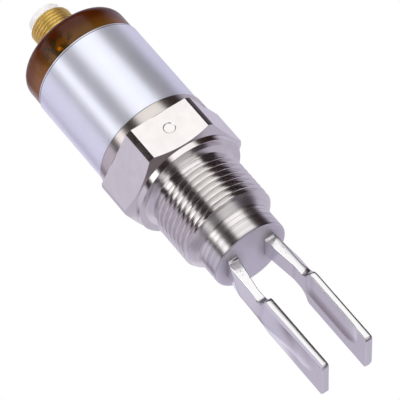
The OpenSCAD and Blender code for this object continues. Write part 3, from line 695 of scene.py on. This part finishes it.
# Lamp cap: moulded in translucent amber plastic so that the lamps show all round. Its spigot snaps
# into the housing tube over a seal ring, and the plug stands through the hole in its top.
amber_plastic = Finish("amber_plastic", {
    "Coat Weight": 0.04, "Coat Roughness": 0.1, "Specular IOR Level": 0.2, "Emission Strength": 1.0,
})
depth_tone = amber_plastic.noise(0.14, 2.0)
flow = amber_plastic.noise(0.4, 2.0)
up = (amber_plastic.axis("Z") + 2 * depth_tone).step(46.5, 51.5)
across_cap = (amber_plastic.axis("X") + 6 * flow).step(5.0, 15.0)
# Painted light: the side of the cap towards -X is lightened, less towards the top.
painted_side_light = (4 * flow - amber_plastic.axis("X")).step(12.0, 17.0) * (0.85 - 0.45 * up)
# Painted light: the lower part of the cap takes a lighter olive-to-brown tone for the glow of the lamps
# through its wall, fading into the darker ruddy top.
lamp_glow_tone = amber_plastic.mix(across_cap, (0.13, 0.052, 0.001), (0.19, 0.085, 0.032))
ruddy = amber_plastic.mix(flow, (0.055, 0.005, 0.0), (0.085, 0.018, 0.001))
amber_plastic.feed("Roughness", 0.16 + 0.1 * flow)
lamp_spot = (-7.5, -13.6, 46.6)
from_lamp = amber_plastic.add(
    "ShaderNodeVectorMath", {"operation": "DISTANCE"}, {0: amber_plastic.place, 1: lamp_spot}, "Value")
glow = 1 - from_lamp.step(0.2, 0.9)
behind_lamp = amber_plastic.noise(0.42, 2.0).step(0.46, 0.56) * (1 - from_lamp.step(3.0, 6.5)) * 0.75
amber_and_painted_glow = amber_plastic.mix(painted_side_light, amber_plastic.mix(up, lamp_glow_tone, ruddy), (0.26, 0.105, 0.035))
amber_plastic.feed("Base Color", amber_plastic.mix(behind_lamp, amber_and_painted_glow, (0.022, 0.013, 0.002)))
amber_plastic.feed("Emission Color", amber_plastic.mix(glow, (0.0, 0.0, 0.0), (0.30, 0.075, 0.0)))
cap_r, cap_round, cap_top, cap_bore, cap_roof = 15.55, 3.2, 53.95, 12.6, 51.55
spigot_r, spigot_low, seal_z, seal_r, seal_half = 14.95, 41.2, 43.2, 13.9, 0.7
lip_r, lip_z, plug_hole_r = tube_outer - 0.4, tube_high + 0.2, 6.025
cap_edge = [
    (cap_r - cap_round * (1 - math.sin(a)), cap_top - cap_round * (1 - math.cos(a)))
    for a in (math.radians(90 - 90 * i / 20) for i in range(21))
]
cap_rows = eased([
    (cap_bore, spigot_low), (spigot_r, spigot_low), (spigot_r, seal_z - seal_half),
    (seal_r, seal_z - seal_half), (seal_r, seal_z + seal_half), (spigot_r, seal_z + seal_half),
    (spigot_r, tube_high), (lip_r, tube_high), (cap_r, lip_z), cap_edge[0],
], radius=0.1)[:-1] + cap_edge + eased([
    cap_edge[-1], (plug_hole_r, cap_top), (plug_hole_r, cap_roof), (cap_bore, cap_roof),
    (cap_bore, spigot_low),
], radius=0.25)[1:-1]
cap = dressed(piece("cap_body", *turned(cap_rows, columns=192, closed=True)), amber_plastic)
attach(cap, "root")
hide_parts("lamp_cap")


# Plug shell: turned from bright brass with a right-hand fine thread and a lead-in bevel. Its flange
# is clamped under the cap's roof on a seal ring.
bright_brass = Finish("bright_brass", {"Metallic": 1.0})
brass_line = bright_brass.noise(8.0, 2.0, bright_brass.axis("Z") + bright_brass.radius())
tarnish = bright_brass.noise(0.6, 3.0)
bright_brass.feed("Base Color", bright_brass.mix(tarnish, (0.97, 0.69, 0.20), (1.0, 0.86, 0.43)))
bright_brass.feed("Roughness", 0.39 + 0.1 * brass_line + 0.1 * tarnish)
bright_brass.relief(brass_line, 0.004)
plug_r, plug_depth, plug_pitch, plug_bevel = 5.975, 0.565, 1.0, 1.1
relief_r, relief_low, relief_high, shell_in, shell_top = 5.4, 52.75, 54.55, 4.8, 64.5
flange_r, flange_low, seal_in, seal_out, seal_floor = 8.0, 49.95, 6.4875, 7.4875, 50.6
shell_rows = eased([
    (plug_r - plug_bevel, shell_top), (shell_in, shell_top), (shell_in, flange_low), (flange_r, flange_low),
    (flange_r, cap_roof), (seal_out, cap_roof), (seal_out, seal_floor), (seal_in, seal_floor),
    (seal_in, cap_roof), (plug_r, cap_roof), (plug_r, relief_low), (relief_r, relief_low),
    (relief_r, relief_high),
], radius=0.06)
shell_body = piece("shell_body", *turned(shell_rows, columns=120))
shell = threaded(shell_body, bright_brass, columns=120, rows=190, sizes={
    "Radius": plug_r, "Depth": plug_depth, "Pitch": plug_pitch, "Bottom": relief_high, "Top": shell_top,
    "Bottom Radius": relief_r, "Top Radius": plug_r - plug_bevel,
})
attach(shell, "root")
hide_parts("connector_shell")


# Contact carrier: a milky white moulding pushed into the shell from below, with an open cup round the
# pins and a coding key. Its rim stands out of the shell.
milky_plastic = Finish("milky_plastic", {
    "Subsurface Weight": 0.25, "Subsurface Radius": (1.0, 0.8, 0.6), "Subsurface Scale": 0.0008,
})
milk = milky_plastic.noise(0.8, 3.0)
milky_plastic.feed("Base Color", milky_plastic.mix(milk, (0.94, 0.935, 0.91), (0.98, 0.975, 0.96)))
milky_plastic.feed("Roughness", 0.32 + 0.14 * milk)
milky_plastic.relief(milk, 0.01)
carrier_r, cup_r, cup_floor, cup_top, foot_z = 4.75, 4.15, 57.5, 66.4, 48.95
cup_lip, pin_circle_r, pin_hole_r, drill_low, drill_high = cup_top - 0.7, 2.75, 0.55, 48, 58
key_in, key_half, key_turn = 3.65, math.radians(7.5), math.radians(45)


def cup_wall(height):
    """A row round the inside of the cup, drawn in over the coding key, with steep sides to the key."""
    on_key, key_side, pull = key_half + 0.001, key_half + 0.004, math.radians(12)

    def row(angle):
        off = angle - key_turn
        if abs(off) < on_key:
            return key_in / math.cos(off), height, angle
        if abs(off) < pull:
            return cup_r, height, key_turn + math.copysign(key_side, off)
        return cup_r, height, angle
    return row


carrier_rows = eased([
    (0, foot_z), (plug_r, foot_z), (plug_r, flange_low), (carrier_r, flange_low), (carrier_r, cup_top),
    (cup_r, cup_top), (cup_r, cup_lip),
], radius=0.22) + [cup_wall(cup_lip - 0.02), cup_wall(cup_floor), (0, cup_floor)]
carrier = piece("carrier_body", *turned(carrier_rows, columns=96))
hole_points, hole_faces = turned([
    (0, drill_low), (pin_hole_r, drill_low), (pin_hole_r, drill_high), (0, drill_high),
], columns=32)
drills = []
for pin_turn in (math.radians(90 * i) for i in range(4)):
    hole_x, hole_y = pin_circle_r * math.cos(pin_turn), pin_circle_r * math.sin(pin_turn)
    drill = piece("drill", [(x + hole_x, y + hole_y, z) for x, y, z in hole_points], hole_faces)
    drills.append(dressed(drill, milky_plastic))
dressed(carrier, milky_plastic)
carrier = dressed(cut_or_joined(carrier, drills, "DIFFERENCE"), milky_plastic)
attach(carrier, "root")
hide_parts("contact_carrier")


# Contact pins: four brass pins turned with round noses and gold plated. They are pressed through the
# floor of the carrier, and the leads are soldered to their tails.
gold_plate = Finish("gold_plate", {"Metallic": 1.0})
plating = gold_plate.noise(4.0, 2.0)
gold_plate.feed("Base Color", gold_plate.mix(plating, (0.72, 0.50, 0.18), (0.90, 0.70, 0.34)))
gold_plate.feed("Roughness", 0.14 + 0.1 * plating)
gold_plate.relief(plating, 0.003)
pin_r, pin_low, pin_high = 0.5, 47.15, 64.9
nose = [
    (pin_r * math.cos(math.radians(15 * i)), pin_high - pin_r + pin_r * math.sin(math.radians(15 * i)))
    for i in range(7)
]
tail = [(0, pin_low), (pin_r - 0.08, pin_low), (pin_r, pin_low + 0.1)]
pin = dressed(piece("pin", *turned(tail + nose, columns=32)), gold_plate)
pins_tree, given, pins_done = node_group("pin_circle", {
    "Pin": "Object", "Pins": "Int", "Circle Radius": "Float", "Material": "Material",
})
stations = pins_tree.add("GeometryNodeMeshCircle", None, {
    "Vertices": given["Pins"], "Radius": given["Circle Radius"],
})
one_pin = pins_tree.add("GeometryNodeObjectInfo", None, {"Object": given["Pin"]}, "Geometry")
pins_done(pins_tree.add("GeometryNodeInstanceOnPoints", None, {"Points": stations, "Instance": one_pin}))
pins = grown("pin_set", pins_tree, {
    "Pin": pin, "Pins": 4, "Circle Radius": pin_circle_r * 0.001, "Material": gold_plate.material,
})
bpy.data.objects.remove(pin)
dressed(pins, gold_plate)
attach(pins, "root")
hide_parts("contact_pins")


# Stage: a pale floor far below the switch, a white studio with soft boxes round it, and the camera
# where the photograph was taken, below the switch and tilted with it.
floor_half, floor_z = 4000, -900
floor = piece("studio_floor", [
    (-floor_half, -floor_half, floor_z), (floor_half, -floor_half, floor_z),
    (floor_half, floor_half, floor_z), (-floor_half, floor_half, floor_z),
], [(0, 1, 2, 3)])
floor_paint = Finish("floor_paint", {"Roughness": 0.9})
mottle = floor_paint.noise(0.002)
floor_paint.feed("Base Color", floor_paint.mix(mottle, (0.80, 0.79, 0.81), (0.84, 0.83, 0.85)))
floor.data.materials.append(floor_paint.material)
floor.visible_glossy = False

scene = bpy.context.scene
scene.view_settings.view_transform = "Standard"
studio = bpy.data.worlds.new("studio")
studio.use_nodes = True
scene.world = studio
light = Tree(studio.node_tree)
light.tree.nodes.clear()
sight = light.add("ShaderNodeTexCoord", out="Generated")
east = light.add("ShaderNodeSeparateXYZ", None, {0: sight}, "X")
north = light.add("ShaderNodeSeparateXYZ", None, {0: sight}, "Y")
room_turn, dusk_turn, dusk_half = 20.06, 52, 16.0
bearing = east.math("ARCTAN2", -1 * north) / (2 * math.pi) + room_turn / 360 + 0.5
round_room = bearing.math("FRACT")
grey, haze, dawn = (0.51, 0.475, 0.58), (0.50, 0.465, 0.56), (0.60, 0.56, 0.65)
dark, dusk, table = (0.022, 0.012, 0.012), (0.20, 0.155, 0.19), (0.19, 0.16, 0.17)
box, glare, strip = (1.0, 0.985, 0.975), (0.68, 0.65, 0.73), (1.3, 1.28, 1.27)
walls = [
    (-180, haze), (-151, glare), (-142, grey), (-114, grey), (-68, dawn), (-64, dark), (-50, dark),
    (-48, strip), (-30, strip), (-28, dark), (0, dark), (7, box), (56, box), (64, dark), (101, dark),
    (116, grey), (180, haze),
]
room = light.add("ShaderNodeValToRGB", {"stops": [(a / 360 + 0.5, c) for a, c in walls]}, {0: round_room})
climb = light.add("ShaderNodeSeparateXYZ", None, {0: sight}, "Z") * 0.5 + 0.5
before = [
    (0.0, 0.7), (0.14, 0.8), (0.22, 0.55), (0.33, 0.55), (0.46, 1.0), (0.86, 1.0), (0.95, 0.35),
    (1.0, 0.2),
]
behind = [(0.0, 0.8), (0.46, 1.0), (0.86, 1.0), (1.0, 0.6)]
shades = [
    light.add("ShaderNodeValToRGB", {"stops": [(a, (b, b, b)) for a, b in lamps]}, {0: climb})
    for lamps in (before, behind)
]
shade = light.add("ShaderNodeMix", {"data_type": "RGBA"}, {
    0: abs(round_room - 0.5).step(0.28, 0.35), 6: shades[0], 7: shades[1],
}, 2)
corner = 1 - abs(round_room * 360 - dusk_turn).step(0.0, dusk_half)
for share, tone in (
    (corner * climb.step(0.64, 0.715) * (1 - climb.step(0.84, 0.90)), dusk),
    ((0.45 - climb).step(0.0, 0.4) * 0.25, dawn),
    (1 - climb.step(0.02, 0.13), table),
):
    room = light.add("ShaderNodeMix", {"data_type": "RGBA"}, {0: share, 6: room, 7: (*tone, 1.0)}, 2)
shaded = {"data_type": "RGBA", "blend_type": "MULTIPLY"}
room = light.add("ShaderNodeMix", shaded, {0: 1.0, 6: room, 7: shade}, 2)
on_matt = light.add("ShaderNodeLightPath", out="Is Diffuse Ray")
mirrored = light.add("ShaderNodeBackground", None, {"Color": room, "Strength": 1.3})
scattered = light.add("ShaderNodeBackground", None, {"Color": room, "Strength": 2.3})
lit = light.add("ShaderNodeMixShader", None, {0: on_matt, 1: mirrored, 2: scattered})
seen = light.add("ShaderNodeBackground", None, {"Color": (1.0, 1.0, 1.0, 1.0), "Strength": 1.0})
direct = light.add("ShaderNodeLightPath", out="Is Camera Ray")
both = light.add("ShaderNodeMixShader", None, {0: direct, 1: lit, 2: seen})
light.end("ShaderNodeOutputWorld", both)

bearing_deg, rise_deg, roll_deg, distance, focal_px = -20.0592, -27.8615, -40.9573, 0.820, 3245.99
shift_x, shift_y, sensor, picture_px = -0.0023822, 0.003609, 36.0, 400
az, el, roll = (math.radians(a) for a in (bearing_deg, rise_deg, roll_deg))
outward = Vector((math.sin(az) * math.cos(el), -math.cos(az) * math.cos(el), math.sin(el)))
level = (-outward).cross(Vector((0, 0, 1))).normalized()
upright = level.cross(-outward)
across = level * math.cos(roll) + upright * math.sin(roll)
upward = upright * math.cos(roll) - level * math.sin(roll)
eye = outward * distance - across * shift_x - upward * shift_y
lens = bpy.data.cameras.new("camera")
lens.sensor_width = sensor
lens.lens = sensor * focal_px / picture_px
lens.clip_start = 0.01
camera = bpy.data.objects.new("camera", lens)
camera.matrix_world = Matrix.Translation(eye) @ Matrix((across, upward, outward)).transposed().to_4x4()
scene.collection.objects.link(camera)
scene.camera = camera
